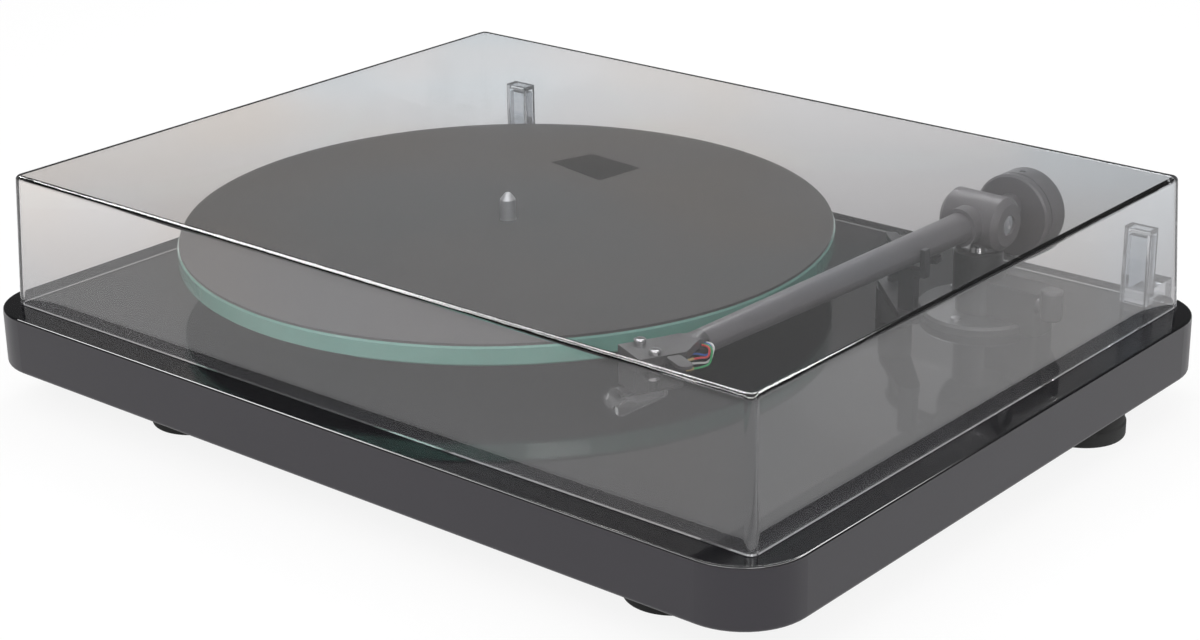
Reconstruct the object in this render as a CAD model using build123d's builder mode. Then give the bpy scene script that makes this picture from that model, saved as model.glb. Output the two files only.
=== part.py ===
from build123d import *
from math import cos, radians, sin
import os

os.makedirs("parts", exist_ok=True)

# Belt-drive turntable with a glass platter under a clear hinged dust cover.
# Millimetres, +X right, +Y back, +Z up. The origin is on the surface that the
# feet stand on, under the middle of the whole body, rear hinges included.

# Fits
run_gap = 0.05        # radial clearance of a shaft in its bearing
seat_gap = 0.02       # clearance round a part that is pressed or screwed in
air_gap = 0.3         # between parts that move past or rest near each other
screw_gap = 1.0       # left in a blind hole past the end of its screw

# Plinth: its width and depth follow from the room round the platter and the arm
plinth_t = 27.0
plinth_corner_r = 29.5
plinth_top_round = 1.0
plinth_low_round = 2.0

# Feet
foot_h = 20.0
foot_r = 20.0
foot_waist_r = 19.2
foot_sole_h = 6.5
foot_edge_r = 1.2
foot_front_inset = 45.8
foot_rear_inset = 64.6
foot_front_left_inset = 94.5
foot_front_right_inset = 75.5
foot_rear_side_inset = 29.5
foot_screw_r = 2.0
foot_screw_head_r = 4.0
foot_screw_head_h = 2.6
foot_screw_grip = 14.0
foot_recess_r = 6.0
foot_floor_t = 8.0

# Dust cover
lid_h = 61.7
lid_wall = 2.5
lid_inset_front = 13.3
lid_inset_side = 12.8
lid_inset_back = 9.7
lid_draft = 2.55
lid_corner_r = 4.0
lid_edge_r = 2.2

# Lid hinges
hinge_depth = 16.0
hinge_left_inset = 45.5
hinge_right_inset = 32.0
hinge_ear_t = 4.0
hinge_ear_r = 5.5
hinge_barrel_r = 4.2
hinge_pin_r = 2.0
hinge_pin_drop = 11.0
hinge_arm_w = 9.0
hinge_arm_t = 5.0
hinge_tongue_h = 32.0
hinge_base_drop = 26.0
hinge_leg_gap = 0.8
hinge_screw_r = 1.75
hinge_screw_head_r = 3.2
hinge_screw_head_h = 2.2
hinge_screw_grip = 16.0
hinge_screw_low = 5.0
hinge_screw_pitch = 10.0
pocket_wall = 2.2
pocket_clear = 0.2
pocket_extra_h = 1.4
pocket_corner_r = 2.0

# Platter, mat and spindle
glass_r = 151.7
room_left = 17.6
room_front = 27.0
room_back = 14.6
room_right = 47.3
glass_t = 8.6
glass_edge = 0.8
glass_lift = 17.2
mat_margin = 0.8
mat_t = 1.2
spindle_r = 3.6
spindle_neck_r = 3.8
spindle_rise = 12.6
spindle_nose_h = 3.0
spindle_nose_r = 1.8
shaft_r = 5.0
hub_r = 14.0
rim_r = 43.0
rim_t = 4.0
rim_h = 9.0
rim_lift = 4.0
web_t = 3.0
pad_r = 5.0
pad_circle_r = 34.0
pad_count = 6
groove_depth = 0.8

# Main bearing
bearing_r = 10.0
bearing_flange_r = 17.0
bearing_flange_t = 3.0
bearing_drop = 8.0
bearing_floor_t = 3.0
ball_r = 2.5
nut_r = 15.0
nut_t = 4.0

# Motor, pulley and belt
speed_ratio = 7.5
fast_step = 1.35
motor_distance = 88.0
motor_angle = 140.0
motor_r = 25.0
motor_h = 18.0
motor_pad_t = 1.0
motor_pad_hole_r = 15.0
bay_r = 27.0
bay_skin_t = 4.0
motor_shaft_r = 1.5
motor_shaft_grip = 15.0
pulley_hole_r = 4.0
pulley_flange_t = 1.0
pulley_low = 1.0
pulley_top_clear = 1.0
belt_w = 2.2
belt_t = 1.4
belt_level = 8.5
cover_r = 33.0
cover_t = 1.6
cover_screw_circle_r = 30.0
cover_screw_count = 3
cover_screw_r = 1.25
cover_screw_head_r = 2.4
cover_screw_head_h = 1.5
cover_screw_grip = 9.0

# Rear sockets and power switch
jack_from_left = 103.5
jack_r = 5.5
jack_collar_r = 7.5
jack_collar_t = 1.5
jack_depth = 16.0
jack_bore_r = 2.8
jack_bore_depth = 10.0
jack_pin_r = 1.0
gland_from_right = 123.5
gland_r = 4.5
gland_collar_r = 6.5
gland_collar_t = 3.0
gland_depth = 18.0
gland_bore_r = 2.6
switch_from_left = 62.0
switch_from_front = 24.0
switch_w = 21.0
switch_d = 15.0
switch_h = 14.0
switch_wall = 1.5
switch_flange = 1.5
switch_flange_t = 1.2
rocker_gap = 1.0
rocker_tip_rise = 1.05
rocker_pin_r = 1.0

# Tonearm base
pivot_from_right = 78.7
pivot_from_back = 76.0
arm_rise = 44.0
rest_angle = 0.8
rest_tilt = 1.0
column_r = 11.0
column_top_gap = 1.5
flange_r = 26.5
flange_t = 4.5
flange_edge = 1.2
arm_hole_r = 9.0
arm_stem_drop = 5.0
arm_nut_r = 14.0
arm_nut_t = 4.0
block_reach = 34.0
block_d = 15.0
block_h = 20.0
block_round = 3.0
base_screw_r = 1.25
base_screw_head_r = 2.2
base_screw_head_h = 1.3
base_screw_grip = 10.0
base_screw_circle_r = 20.0
base_screw_count = 3
base_screw_turn = 150.0

# Swing bearing and yoke
swing_shaft_r = 4.0
swing_race_r = 8.0
swing_race_t = 5.0
swing_race_sink = 0.5
swing_race_rise = 2.0
yoke_neck_r = 3.4
yoke_head = 8.0
tilt_spindle_r = 2.0
play_drop = 0.9

# Bearing housing on the arm
housing_r = 12.0
housing_half = 15.0
housing_chamfer = 2.5
housing_wall = 3.0
housing_end_wall = 5.0
tilt_race_r = 4.5
tilt_race_t = 4.0
slot_w = 10.0
slot_l = 11.0

# Arm tube, collar and stub
tube_root_r = 6.8
tube_tip_r = 5.2
tube_bore_r = 4.1
collar_r = 8.6
collar_t = 5.0
stub_r = 5.5
stub_reach = 45.0

# Headshell, in the arm's own directions
bolts_from_front = 43.3
bolts_from_tube = 27.7
bolt_side = 3.6
offset_angle = 23.8
bolt_spacing = 12.7
shell_half_w = 9.2
shell_nose = 8.0
shell_tail = 12.0
shell_t = 3.4
shell_top = 4.5
shell_neck_l = 7.0
neck_bore_r = 3.2
lead_slot_l = 5.0
lead_slot_h = 1.6
lead_slot_gap = 1.0
finger_l = 14.0
finger_w = 6.0
finger_t = 1.3
finger_back = 6.0
bolt_r = 1.25
bolt_head_r = 2.4
bolt_head_h = 2.2
bolt_nut_r = 2.4
bolt_nut_t = 1.6

# Cartridge, stylus and guard, in the cartridge's own directions
cart_ear_w = 18.0
cart_ear_l = 7.0
cart_ear_t = 3.0
cart_w = 14.0
cart_tail = 13.0
cart_nose = 8.0
cart_h = 10.0
stylus_w = 7.0
stylus_tail = 6.0
stylus_nose = 10.5
stylus_h = 4.6
stylus_nose_h = 1.6
stylus_ahead = 12.5
stylus_drop = 17.0
cantilever_r = 0.4
guard_w = 10.2
guard_wall = 1.0
guard_nose_t = 1.6
guard_tail = 7.0
guard_nose = 15.2
guard_drop = 17.8
guard_tail_drop = 13.0
pin_r = 0.5
pin_l = 5.0
pin_spacing = 5.0
clip_r = 0.95
clip_l = 4.0
lead_r = 0.42
lead_start = 3.6
lead_exit = 1.6
lead_pull = 3.5

# Counterweight
weight_r = 18.85
weight_l = 16.1
weight_front = 25.65
weight_drop = 5.07
weight_chamfer = 1.0
weight_seam = 4.0
weight_seam_t = 0.6
weight_screw_r = 1.5

# Arm rest, lift and cue lever
rest_reach = 55.0
rest_plate_t = 3.0
rest_end_r = 5.0
rest_post_w = 8.0
rest_post_t = 4.0
rest_prong_t = 2.4
rest_prong_rise = 3.0
lift_circle_r = 38.5
lift_angle = 41.0
lift_post_r = 7.5
lift_post_h = 15.0
lift_bore_depth = 12.0
lift_rod_r = 2.5
lift_rod_grip = 9.0
lift_bar_w = 5.0
lift_bar_t = 2.6
lift_bar_before = 6.0
lift_bar_after = 52.0
lever_rise = 15.5
lever_shaft_r = 2.0
lever_shaft_grip = 14.0
lever_crank = 8.0
lever_crank_t = 3.0
lever_crank_r = 3.5
lever_knob_h = 14.0
lever_knob_r = 5.0
lever_knob_rise = 2.0
lever_round = 1.5

upright = (Align.CENTER, Align.CENTER, Align.MIN)

# Places worked out from the sizes above
mat_r = glass_r - mat_margin
spindle_from_left = room_left + glass_r
spindle_from_front = room_front + glass_r
plinth_w = spindle_from_left + glass_r + room_right + pivot_from_right
plinth_d = spindle_from_front + glass_r + room_back
plinth_cy = -hinge_depth / 2
plinth_left = -plinth_w / 2
plinth_right = plinth_w / 2
plinth_front = plinth_cy - plinth_d / 2
plinth_back = plinth_cy + plinth_d / 2
deck_z = foot_h + plinth_t

spindle_x = plinth_left + spindle_from_left
spindle_y = plinth_front + spindle_from_front
glass_z = deck_z + glass_lift
mat_z = glass_z + glass_t
mat_top = mat_z + mat_t

motor_x = spindle_x + motor_distance * cos(radians(motor_angle))
motor_y = spindle_y + motor_distance * sin(radians(motor_angle))
bay_top = deck_z - bay_skin_t
motor_top = bay_top - motor_pad_t
pulley_r = (rim_r - groove_depth) / speed_ratio
belt_z = deck_z + belt_level

pivot_x = plinth_right - pivot_from_right
pivot_y = plinth_back - pivot_from_back
arm_z = deck_z + arm_rise
level = Vector(-sin(radians(rest_angle)), -cos(radians(rest_angle)), 0)
forward = level * cos(radians(rest_tilt)) + Vector(0, 0, sin(radians(rest_tilt)))
sideways = Vector(cos(radians(rest_angle)), -sin(radians(rest_angle)), 0)
upward = forward.cross(sideways)
pivot = Vector(pivot_x, pivot_y, arm_z)
# Sections across the arm: x sideways, y up, offset forwards along the arm
arm_plane = Plane(origin=pivot, x_dir=sideways, z_dir=forward)
# Plan of the arm: x sideways, y backwards, offset upwards from the arm's axis
arm_plan = Plane(origin=pivot, x_dir=sideways, z_dir=upward)
# Lengthwise through the arm: offset sideways along the tilt spindle
cross_plane = Plane(origin=pivot, x_dir=forward, z_dir=sideways)

# The arm ends a set distance behind the plinth's front
bolt_reach = plinth_d - pivot_from_back - bolts_from_front
tube_tip_reach = bolt_reach - bolts_from_tube
# Heights on the arm are measured from its axis
shell_under = shell_top - shell_t
bolt_mid = pivot + forward * bolt_reach - sideways * bolt_side
cart_forward = forward * cos(radians(offset_angle)) - sideways * sin(radians(offset_angle))
cart_side = sideways * cos(radians(offset_angle)) + forward * sin(radians(offset_angle))
# Plan of the cartridge: x sideways, y backwards, offset upwards
cart_plan = Plane(origin=bolt_mid, x_dir=cart_side, z_dir=upward)
# Side view of the cartridge: x backwards, y up, offset sideways
cart_profile = Plane(origin=bolt_mid, x_dir=cart_forward * -1, z_dir=cart_side)
# Sections across the cartridge: x sideways, y up, offset forwards
cart_section = Plane(origin=bolt_mid, x_dir=cart_side, z_dir=cart_forward)


def tube_radius(reach):
    """Outer radius of the tapered arm tube at a distance from the pivot."""
    share = (reach - housing_r) / (tube_tip_reach - housing_r)
    return tube_root_r + (tube_tip_r - tube_root_r) * share


# Four feet: place of each under the plinth
foot_places = {
    "front_left": (plinth_left + foot_front_left_inset, plinth_front + foot_front_inset),
    "front_right": (plinth_right - foot_front_right_inset, plinth_front + foot_front_inset),
    "rear_left": (plinth_left + foot_rear_side_inset, plinth_back - foot_rear_inset),
    "rear_right": (plinth_right - foot_rear_side_inset, plinth_back - foot_rear_inset),
}
foot_points = list(foot_places.values())

jack_x = plinth_left + jack_from_left
gland_x = plinth_right - gland_from_right
socket_z = foot_h + plinth_t / 2
switch_x = plinth_left + switch_from_left
switch_y = plinth_front + switch_from_front
hinge_xs = (plinth_left + hinge_left_inset, plinth_right - hinge_right_inset)
hinge_pin_y = plinth_back + hinge_depth / 2
hinge_pin_z = deck_z - hinge_pin_drop
hinge_base_bottom = deck_z - hinge_base_drop
hinge_screw_z = hinge_base_bottom + hinge_screw_low
hinge_screw_places = [
    (x + hinge_screw_pitch / 2 * side, hinge_screw_z) for x in hinge_xs for side in (-1, 1)
]
lid_bottom = deck_z + air_gap


def ring_places(x, y, radius, count, turn=0):
    """Places evenly spread on a circle, the first at an angle from +X."""
    angles = [radians(turn + 360 * k / count) for k in range(count)]
    return [(x + radius * cos(a), y + radius * sin(a)) for a in angles]


base_screw_places = ring_places(pivot_x, pivot_y, base_screw_circle_r, base_screw_count, base_screw_turn)
cover_screw_places = ring_places(motor_x, motor_y, cover_screw_circle_r, cover_screw_count)

# Plinth
with BuildPart() as plinth:
    with BuildSketch(Plane.XY.offset(foot_h)):
        with Locations((0, plinth_cy)):
            RectangleRounded(plinth_w, plinth_d, plinth_corner_r)
    extrude(amount=plinth_t)
    fillet(plinth.faces().sort_by(Axis.Z)[-1].edges(), plinth_top_round)
    fillet(plinth.faces().sort_by(Axis.Z)[0].edges(), plinth_low_round)
    # Through holes for the main bearing, the pulley's shaft and the arm
    with BuildSketch(Plane.XY.offset(foot_h)):
        with Locations((spindle_x, spindle_y)):
            Circle(bearing_r + seat_gap)
        with Locations((motor_x, motor_y)):
            Circle(pulley_hole_r)
        with Locations((pivot_x, pivot_y)):
            Circle(arm_hole_r + seat_gap)
    extrude(amount=plinth_t, mode=Mode.SUBTRACT)
    # Motor bay and switch pocket, from below
    with BuildSketch(Plane.XY.offset(foot_h)):
        with Locations((motor_x, motor_y)):
            Circle(bay_r)
    extrude(amount=bay_top - foot_h, mode=Mode.SUBTRACT)
    with BuildSketch(Plane.XY.offset(foot_h)):
        with Locations((switch_x, switch_y)):
            Rectangle(switch_w, switch_d)
    extrude(amount=switch_h + seat_gap, mode=Mode.SUBTRACT)
    # Pilot holes for the screws
    with BuildSketch(Plane.XY.offset(foot_h)):
        with Locations(*foot_points):
            Circle(foot_screw_r + seat_gap)
    extrude(amount=foot_screw_grip, mode=Mode.SUBTRACT)
    with BuildSketch(Plane.XY.offset(foot_h)):
        with Locations(*cover_screw_places):
            Circle(cover_screw_r + seat_gap)
    extrude(amount=cover_screw_grip, mode=Mode.SUBTRACT)
    with BuildSketch(Plane.XY.offset(deck_z - base_screw_grip)):
        with Locations(*base_screw_places):
            Circle(base_screw_r + seat_gap)
    extrude(amount=base_screw_grip, mode=Mode.SUBTRACT)
    # Rear sockets and hinge screws
    with BuildSketch(Plane.XZ.offset(-plinth_back)):
        with Locations((jack_x, socket_z)):
            Circle(jack_r + seat_gap)
    extrude(amount=jack_depth, mode=Mode.SUBTRACT)
    with BuildSketch(Plane.XZ.offset(-plinth_back)):
        with Locations((gland_x, socket_z)):
            Circle(gland_r + seat_gap)
    extrude(amount=gland_depth, mode=Mode.SUBTRACT)
    with BuildSketch(Plane.XZ.offset(-plinth_back)):
        with Locations(*hinge_screw_places):
            Circle(hinge_screw_r + seat_gap)
    extrude(amount=hinge_screw_grip, mode=Mode.SUBTRACT)
plinth.part.label = "plinth"
export_step(plinth.part, "parts/plinth.step")

# Feet, each with a recess for its screw
for name, (x, y) in foot_places.items():
    with BuildPart() as foot:
        with BuildSketch(Plane(origin=(x, y, 0), x_dir=(1, 0, 0), z_dir=(0, -1, 0))):
            with BuildLine():
                Polyline(
                    (0, 0), (foot_r, 0), (foot_r, foot_sole_h), (foot_waist_r, foot_sole_h + 1),
                    (foot_waist_r, foot_h), (0, foot_h), close=True,
                )
            make_face()
        revolve(axis=Axis((x, y, 0), (0, 0, 1)))
        fillet(foot.faces().sort_by(Axis.Z)[0].edges(), foot_edge_r)
        with BuildSketch(Plane.XY):
            with Locations((x, y)):
                Circle(foot_recess_r)
        extrude(amount=foot_h - foot_floor_t, mode=Mode.SUBTRACT)
        with BuildSketch(Plane.XY):
            with Locations((x, y)):
                Circle(foot_screw_r + seat_gap)
        extrude(amount=foot_h, mode=Mode.SUBTRACT)
    foot.part.label = f"foot_{name}"
    export_step(foot.part, f"parts/foot_{name}.step")

with BuildPart() as foot_screws:
    with Locations(*[(x, y, foot_h - foot_floor_t) for x, y in foot_points]):
        Cylinder(foot_screw_r, foot_floor_t + foot_screw_grip - screw_gap, align=upright)
    with Locations(*[(x, y, foot_h - foot_floor_t - foot_screw_head_h) for x, y in foot_points]):
        Cylinder(foot_screw_head_r, foot_screw_head_h, align=upright)
foot_screws.part.label = "foot_screws"
export_step(foot_screws.part, "parts/foot_screws.step")

# Main bearing: flanged barrel with a blind bore, held by a nut below the plinth
bearing_bottom = foot_h - bearing_drop
bore_floor = bearing_bottom + bearing_floor_t
with BuildPart() as main_bearing:
    with Locations((spindle_x, spindle_y, bearing_bottom)):
        Cylinder(bearing_r, deck_z - bearing_bottom, align=upright)
    with Locations((spindle_x, spindle_y, deck_z)):
        Cylinder(bearing_flange_r, bearing_flange_t, align=upright)
    chamfer(main_bearing.edges().filter_by(GeomType.CIRCLE).sort_by(Axis.Z)[-1], 0.6)
    with BuildSketch(Plane.XY.offset(bore_floor)):
        with Locations((spindle_x, spindle_y)):
            Circle(shaft_r + run_gap)
    extrude(amount=deck_z + bearing_flange_t - bore_floor, mode=Mode.SUBTRACT)
main_bearing.part.label = "main_bearing"
export_step(main_bearing.part, "parts/main_bearing.step")

with BuildPart() as main_bearing_nut:
    with BuildSketch(Plane.XY.offset(foot_h - nut_t)):
        with Locations((spindle_x, spindle_y)):
            RegularPolygon(nut_r, 6)
            Circle(bearing_r + seat_gap, mode=Mode.SUBTRACT)
    extrude(amount=nut_t)
main_bearing_nut.part.label = "main_bearing_nut"
export_step(main_bearing_nut.part, "parts/main_bearing_nut.step")

with BuildPart() as thrust_ball:
    with Locations((spindle_x, spindle_y, bore_floor + ball_r)):
        Sphere(ball_r)
thrust_ball.part.label = "thrust_ball"
export_step(thrust_ball.part, "parts/thrust_ball.step")

# Spindle: bearing shaft below, record spindle above
shaft_bottom = bore_floor + 2 * ball_r + run_gap
shaft_top = deck_z + bearing_flange_t + 2
spindle_top = mat_top + spindle_rise
with BuildPart() as spindle:
    with BuildSketch(Plane(origin=(spindle_x, spindle_y, 0), x_dir=(1, 0, 0), z_dir=(0, -1, 0))):
        with BuildLine():
            Polyline(
                (0, shaft_bottom), (shaft_r - 0.6, shaft_bottom), (shaft_r, shaft_bottom + 0.6),
                (shaft_r, shaft_top), (spindle_neck_r, shaft_top), (spindle_neck_r, mat_top),
                (spindle_r, mat_top), (spindle_r, spindle_top - spindle_nose_h),
                (spindle_nose_r, spindle_top - 0.6), (spindle_nose_r - 0.6, spindle_top),
                (0, spindle_top), close=True,
            )
        make_face()
    revolve(axis=Axis((spindle_x, spindle_y, 0), (0, 0, 1)))
spindle.part.label = "spindle"
export_step(spindle.part, "parts/spindle.step")

# Sub-platter: hub, web, grooved rim for the belt and pads under the glass
rim_top = deck_z + rim_lift + rim_h
rim_bottom = deck_z + rim_lift
hub_bottom = deck_z + bearing_flange_t + air_gap
with BuildPart() as sub_platter:
    with BuildSketch(Plane(origin=(spindle_x, spindle_y, 0), x_dir=(1, 0, 0), z_dir=(0, -1, 0))):
        with BuildLine():
            Polyline(
                (spindle_neck_r + seat_gap, shaft_top), (shaft_r + seat_gap, shaft_top),
                (shaft_r + seat_gap, hub_bottom), (hub_r, hub_bottom), (hub_r, rim_top - web_t),
                (rim_r - rim_t, rim_top - web_t), (rim_r - rim_t, rim_bottom), (rim_r, rim_bottom),
                (rim_r, belt_z - belt_w / 2 - air_gap), (rim_r - groove_depth, belt_z - belt_w / 2 - air_gap),
                (rim_r - groove_depth, belt_z + belt_w / 2 + air_gap), (rim_r, belt_z + belt_w / 2 + air_gap),
                (rim_r, rim_top), (hub_r, rim_top), (hub_r, glass_z), (spindle_neck_r + seat_gap, glass_z),
                close=True,
            )
        make_face()
    revolve(axis=Axis((spindle_x, spindle_y, 0), (0, 0, 1)))
    with BuildSketch(Plane.XY.offset(rim_top)):
        with Locations((spindle_x, spindle_y)):
            with PolarLocations(pad_circle_r, pad_count):
                Circle(pad_r)
    extrude(amount=glass_z - rim_top)
sub_platter.part.label = "sub_platter"
export_step(sub_platter.part, "parts/sub_platter.step")

# Glass platter
with BuildPart() as glass_platter:
    with Locations((spindle_x, spindle_y, glass_z)):
        Cylinder(glass_r, glass_t, align=upright)
    chamfer(glass_platter.edges().filter_by(GeomType.CIRCLE), glass_edge)
    with BuildSketch(Plane.XY.offset(glass_z)):
        with Locations((spindle_x, spindle_y)):
            Circle(spindle_neck_r + run_gap)
    extrude(amount=glass_t, mode=Mode.SUBTRACT)
glass_platter.part.label = "glass_platter"
export_step(glass_platter.part, "parts/glass_platter.step")

# Felt mat
with BuildPart() as platter_mat:
    with BuildSketch(Plane.XY.offset(mat_z)):
        with Locations((spindle_x, spindle_y)):
            Circle(mat_r)
            Circle(spindle_neck_r + run_gap, mode=Mode.SUBTRACT)
    extrude(amount=mat_t)
platter_mat.part.label = "platter_mat"
export_step(platter_mat.part, "parts/platter_mat.step")

# Motor in its bay, hung by a rubber pad
with BuildPart() as motor_body:
    with Locations((motor_x, motor_y, motor_top - motor_h)):
        Cylinder(motor_r, motor_h, align=upright)
    fillet(motor_body.edges().filter_by(GeomType.CIRCLE), 1.0)
    with BuildSketch(Plane.XY.offset(motor_top)):
        with Locations((motor_x, motor_y)):
            Circle(motor_shaft_r + run_gap)
    extrude(amount=-motor_shaft_grip, mode=Mode.SUBTRACT)
motor_body.part.label = "motor_body"
export_step(motor_body.part, "parts/motor_body.step")

with BuildPart() as motor_pad:
    with BuildSketch(Plane.XY.offset(motor_top)):
        with Locations((motor_x, motor_y)):
            Circle(motor_r - 1.5)
            Circle(motor_pad_hole_r, mode=Mode.SUBTRACT)
    extrude(amount=motor_pad_t)
motor_pad.part.label = "motor_pad"
export_step(motor_pad.part, "parts/motor_pad.step")

pulley_bottom = deck_z + pulley_low
pulley_top = glass_z - pulley_top_clear
fast_r = pulley_r * fast_step
step_z = belt_z - belt_w / 2 - air_gap
with BuildPart() as motor_shaft:
    with Locations((motor_x, motor_y, motor_top - motor_shaft_grip + 1)):
        Cylinder(motor_shaft_r, pulley_top - motor_top + motor_shaft_grip - 2, align=upright)
motor_shaft.part.label = "motor_shaft"
export_step(motor_shaft.part, "parts/motor_shaft.step")

# Stepped pulley: the larger step is for 45 rpm, the belt is on the 33 rpm step
with BuildPart() as motor_pulley:
    with BuildSketch(Plane(origin=(motor_x, motor_y, 0), x_dir=(1, 0, 0), z_dir=(0, -1, 0))):
        with BuildLine():
            Polyline(
                (motor_shaft_r + seat_gap, pulley_bottom), (fast_r + 1, pulley_bottom),
                (fast_r + 1, pulley_bottom + pulley_flange_t), (fast_r, pulley_bottom + pulley_flange_t),
                (fast_r, step_z - air_gap), (pulley_r, step_z), (pulley_r, pulley_top - pulley_flange_t),
                (pulley_r + 1, pulley_top - pulley_flange_t), (pulley_r + 1, pulley_top),
                (motor_shaft_r + seat_gap, pulley_top), close=True,
            )
        make_face()
    revolve(axis=Axis((motor_x, motor_y, 0), (0, 0, 1)))
motor_pulley.part.label = "motor_pulley"
export_step(motor_pulley.part, "parts/motor_pulley.step")

# Flat belt round the rim's groove and the pulley
belt_inner_rim = rim_r - groove_depth + air_gap
belt_inner_pulley = pulley_r + air_gap
with BuildPart() as drive_belt:
    with BuildSketch(Plane.XY.offset(belt_z - belt_w / 2)):
        with Locations((spindle_x, spindle_y)):
            Circle(belt_inner_rim + belt_t)
        with Locations((motor_x, motor_y)):
            Circle(belt_inner_pulley + belt_t)
        make_hull()
    extrude(amount=belt_w)
    with BuildSketch(Plane.XY.offset(belt_z - belt_w / 2)):
        with Locations((spindle_x, spindle_y)):
            Circle(belt_inner_rim)
        with Locations((motor_x, motor_y)):
            Circle(belt_inner_pulley)
        make_hull()
    extrude(amount=belt_w, mode=Mode.SUBTRACT)
drive_belt.part.label = "drive_belt"
export_step(drive_belt.part, "parts/drive_belt.step")

# Cover plate under the motor, with a boss that holds the motor up
with BuildPart() as motor_cover:
    with BuildSketch(Plane.XY.offset(foot_h - cover_t)):
        with Locations((motor_x, motor_y)):
            Circle(cover_r)
    extrude(amount=cover_t)
    fillet(motor_cover.faces().sort_by(Axis.Z)[0].edges(), 0.8)
    with BuildSketch(Plane.XY.offset(foot_h)):
        with Locations((motor_x, motor_y)):
            Circle(motor_pad_hole_r)
            Circle(motor_pad_hole_r - 3, mode=Mode.SUBTRACT)
    extrude(amount=motor_top - motor_h - foot_h)
    with BuildSketch(Plane.XY.offset(foot_h - cover_t)):
        with Locations(*cover_screw_places):
            Circle(cover_screw_r + seat_gap)
    extrude(amount=cover_t, mode=Mode.SUBTRACT)
motor_cover.part.label = "motor_cover"
export_step(motor_cover.part, "parts/motor_cover.step")

with BuildPart() as motor_cover_screws:
    with Locations(*[(x, y, foot_h - cover_t) for x, y in cover_screw_places]):
        Cylinder(cover_screw_r, cover_t + cover_screw_grip - screw_gap, align=upright)
    with Locations(*[(x, y, foot_h - cover_t - cover_screw_head_h) for x, y in cover_screw_places]):
        Cylinder(cover_screw_head_r, cover_screw_head_h, align=upright)
motor_cover_screws.part.label = "motor_cover_screws"
export_step(motor_cover_screws.part, "parts/motor_cover_screws.step")

# Power socket: collar on the rear face, bore with a centre pin
jack_plane = Plane(origin=(jack_x, plinth_back, socket_z), x_dir=(-1, 0, 0), z_dir=(0, 1, 0))
with BuildPart() as power_jack:
    with BuildSketch(jack_plane.offset(-jack_depth + 1)):
        Circle(jack_r)
    extrude(amount=jack_depth - 1)
    with BuildSketch(jack_plane):
        Circle(jack_collar_r)
    extrude(amount=jack_collar_t)
    with BuildSketch(jack_plane.offset(jack_collar_t)):
        Circle(jack_bore_r)
    extrude(amount=-jack_bore_depth, mode=Mode.SUBTRACT)
    with BuildSketch(jack_plane.offset(jack_collar_t - jack_bore_depth)):
        Circle(jack_pin_r)
    extrude(amount=jack_bore_depth - 1)
power_jack.part.label = "power_jack"
export_step(power_jack.part, "parts/power_jack.step")

# Rubber gland for the signal lead
gland_plane = Plane(origin=(gland_x, plinth_back, socket_z), x_dir=(-1, 0, 0), z_dir=(0, 1, 0))
with BuildPart() as lead_gland:
    with BuildSketch(gland_plane.offset(-gland_depth + 1)):
        Circle(gland_r)
    extrude(amount=gland_depth - 1)
    with BuildSketch(gland_plane):
        Circle(gland_collar_r)
    extrude(amount=gland_collar_t)
    fillet(lead_gland.edges().filter_by(GeomType.CIRCLE).sort_by(Axis.Y)[-1], 1.0)
    with BuildSketch(gland_plane.offset(gland_collar_t)):
        Circle(gland_bore_r)
    extrude(amount=-(gland_depth + gland_collar_t - 1), mode=Mode.SUBTRACT)
lead_gland.part.label = "lead_gland"
export_step(lead_gland.part, "parts/lead_gland.step")

# Power switch: housing in its pocket, rocker on a pin along X
rocker_w = switch_w - 2 * switch_wall - 2 * rocker_gap
rocker_d = switch_d - 2 * switch_wall - 2 * rocker_gap
rocker_pin_z = foot_h + 2.5
with BuildPart() as switch_housing:
    with BuildSketch(Plane.XY.offset(foot_h)):
        with Locations((switch_x, switch_y)):
            Rectangle(switch_w - 2 * seat_gap, switch_d - 2 * seat_gap)
    extrude(amount=switch_h)
    with BuildSketch(Plane.XY.offset(foot_h - switch_flange_t)):
        with Locations((switch_x, switch_y)):
            RectangleRounded(switch_w + 2 * switch_flange, switch_d + 2 * switch_flange, 1.5)
    extrude(amount=switch_flange_t)
    with BuildSketch(Plane.XY.offset(foot_h - switch_flange_t)):
        with Locations((switch_x, switch_y)):
            Rectangle(switch_w - 2 * switch_wall, switch_d - 2 * switch_wall)
    extrude(amount=switch_h + switch_flange_t - 2 * switch_wall, mode=Mode.SUBTRACT)
    with BuildSketch(Plane(origin=(switch_x, switch_y, rocker_pin_z), x_dir=(0, 1, 0), z_dir=(1, 0, 0))):
        Circle(rocker_pin_r)
    extrude(amount=switch_w / 2 - switch_wall / 2, both=True)
switch_housing.part.label = "switch_housing"
export_step(switch_housing.part, "parts/switch_housing.step")

# The rocker is a shallow wedge with its rear half pressed in at rest
tip = rocker_d / 2
rocker_side = Plane(
    origin=(switch_x - rocker_w / 2, switch_y, rocker_pin_z), x_dir=(0, 1, 0), z_dir=(1, 0, 0)
)
with BuildPart() as switch_rocker:
    with BuildSketch(rocker_side):
        with BuildLine():
            Polyline(
                (-tip, -2.9 - rocker_tip_rise), (0, -2.9), (tip, -2.9),
                (tip * 0.8, 1.0), (0, 2.6), (-tip * 0.8, 1.0), close=True,
            )
        make_face()
        Circle(rocker_pin_r + run_gap, mode=Mode.SUBTRACT)
    extrude(amount=rocker_w)
switch_rocker.part.label = "switch_rocker"
export_step(switch_rocker.part, "parts/switch_rocker.step")

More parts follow.
